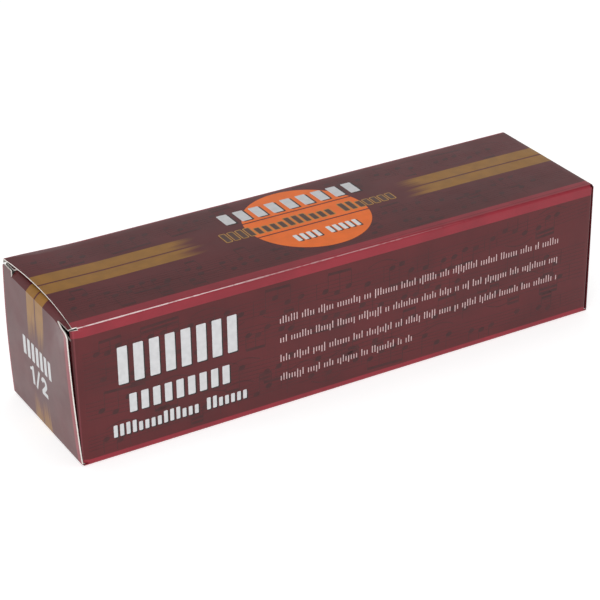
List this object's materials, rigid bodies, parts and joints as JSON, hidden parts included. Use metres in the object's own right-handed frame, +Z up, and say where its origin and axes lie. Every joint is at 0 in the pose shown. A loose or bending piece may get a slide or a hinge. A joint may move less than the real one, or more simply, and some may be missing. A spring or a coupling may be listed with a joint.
{
  "type": "boxed violin shoulder rest",
  "caption": "Printed reverse-tuck carton with hinged end lids, tuck and dust flaps, holding a padded violin shoulder rest on screw-adjusted forked feet.",
  "frame": {"origin": "middle of the closed carton's underside", "axes": "+X along the carton's length, towards the end whose lid hinges on the top panel; -Y out of the large front panel; +Z up out of the top panel"},
  "size_m": [0.2384, 0.065, 0.06],
  "materials": {
    "printed_board": "dark red print under gloss laminate on white carton board",
    "black_nylon": "satin moulded nylon",
    "foam": "soft closed-cell foam with a matt skin",
    "brass": "turned, unlacquered",
    "zinc_steel": "zinc plated",
    "rubber": "matt black"
  },
  "bodies": {
    "carton": {"top_panel": "printed_board", "front_panel": "printed_board", "bottom_panel": "printed_board", "back_panel": "printed_board", "glue_flap": "printed_board", "bridge": "black_nylon", "pad": "foam", "left_insert": "brass", "left_spare_insert": "brass", "right_insert": "brass", "right_spare_insert": "brass"},
    "left_lid": {"left_lid": "printed_board"},
    "left_tuck_flap": {"left_tuck_flap": "printed_board"},
    "left_dust_flap_front": {"left_dust_flap_front": "printed_board"},
    "left_dust_flap_back": {"left_dust_flap_back": "printed_board"},
    "left_stem": {"left_stem": "zinc_steel"},
    "left_foot": {"left_fork": "black_nylon", "left_fork_nut": "zinc_steel", "left_sleeve_front": "rubber", "left_sleeve_back": "rubber"},
    "left_lock_nut": {"left_lock_nut": "brass"},
    "right_lid": {"right_lid": "printed_board"},
    "right_tuck_flap": {"right_tuck_flap": "printed_board"},
    "right_dust_flap_front": {"right_dust_flap_front": "printed_board"},
    "right_dust_flap_back": {"right_dust_flap_back": "printed_board"},
    "right_stem": {"right_stem": "zinc_steel"},
    "right_foot": {"right_fork": "black_nylon", "right_fork_nut": "zinc_steel", "right_sleeve_front": "rubber", "right_sleeve_back": "rubber"},
    "right_lock_nut": {"right_lock_nut": "brass"}
  },
  "joints": [
    {"name": "left_lid_hinge", "type": "hinge", "parent": "carton", "child": "left_lid", "pos_m": [-0.11925, 0, 0.001], "axis": [0, -1, 0], "range_deg": [0, 90]},
    {"name": "left_tuck_flap_crease", "type": "hinge", "parent": "left_lid", "child": "left_tuck_flap", "pos_m": [-0.1161, 0, 0.05912], "axis": [0, -1, 0], "range_deg": [0, 27]},
    {"name": "left_dust_flap_front_hinge", "type": "hinge", "parent": "carton", "child": "left_dust_flap_front", "pos_m": [-0.11845, -0.0315, 0.03], "axis": [0, 0, 1], "range_deg": [0, 90]},
    {"name": "left_dust_flap_back_hinge", "type": "hinge", "parent": "carton", "child": "left_dust_flap_back", "pos_m": [-0.11845, 0.0315, 0.03], "axis": [0, 0, -1], "range_deg": [0, 90]},
    {"name": "left_stem_lift", "type": "slide", "parent": "carton", "child": "left_stem", "axis": [0, 0, 1], "range_m": [-0.0004, 0.0012]},
    {"name": "left_foot_turn", "type": "hinge", "parent": "left_stem", "child": "left_foot", "pos_m": [-0.0665, 0.00055, 0.02], "axis": [0, 0, 1], "range_deg": [-180, 540]},
    {"name": "left_lock_nut_turn", "type": "hinge", "parent": "carton", "child": "left_lock_nut", "pos_m": [-0.0665, 0.00055, 0.026], "axis": [0, 0, 1], "range_deg": [-360, 0]},
    {"name": "right_lid_hinge", "type": "hinge", "parent": "carton", "child": "right_lid", "pos_m": [0.11925, 0, 0.059], "axis": [0, -1, 0], "range_deg": [0, 150]},
    {"name": "right_tuck_flap_crease", "type": "hinge", "parent": "right_lid", "child": "right_tuck_flap", "pos_m": [0.1161, 0, 0.00089], "axis": [0, -1, 0], "range_deg": [0, 45]},
    {"name": "right_dust_flap_front_hinge", "type": "hinge", "parent": "carton", "child": "right_dust_flap_front", "pos_m": [0.11845, -0.0315, 0.03], "axis": [0, 0, -1], "range_deg": [0, 90]},
    {"name": "right_dust_flap_back_hinge", "type": "hinge", "parent": "carton", "child": "right_dust_flap_back", "pos_m": [0.11845, 0.0315, 0.03], "axis": [0, 0, 1], "range_deg": [0, 90]},
    {"name": "right_stem_lift", "type": "slide", "parent": "carton", "child": "right_stem", "axis": [0, 0, 1], "range_m": [-0.0004, 0.0012]},
    {"name": "right_foot_turn", "type": "hinge", "parent": "right_stem", "child": "right_foot", "pos_m": [0.0665, 0.00055, 0.02], "axis": [0, 0, 1], "range_deg": [-180, 540]},
    {"name": "right_lock_nut_turn", "type": "hinge", "parent": "carton", "child": "right_lock_nut", "pos_m": [0.0665, 0.00055, 0.026], "axis": [0, 0, 1], "range_deg": [-360, 0]}
  ],
  "couplings": [
    {"joint": "left_tuck_flap_crease", "follows": "left_lid_hinge", "ratio": 0.3},
    {"joint": "left_dust_flap_front_hinge", "follows": "left_lid_hinge", "ratio": 1},
    {"joint": "left_dust_flap_back_hinge", "follows": "left_lid_hinge", "ratio": 1},
    {"joint": "left_stem_lift", "follows": "left_foot_turn", "m_per_rad": 0.00012732},
    {"joint": "right_tuck_flap_crease", "follows": "right_lid_hinge", "ratio": 0.3},
    {"joint": "right_dust_flap_front_hinge", "follows": "right_lid_hinge", "ratio": 0.6},
    {"joint": "right_dust_flap_back_hinge", "follows": "right_lid_hinge", "ratio": 0.6},
    {"joint": "right_stem_lift", "follows": "right_foot_turn", "m_per_rad": 0.00012732}
  ]
}
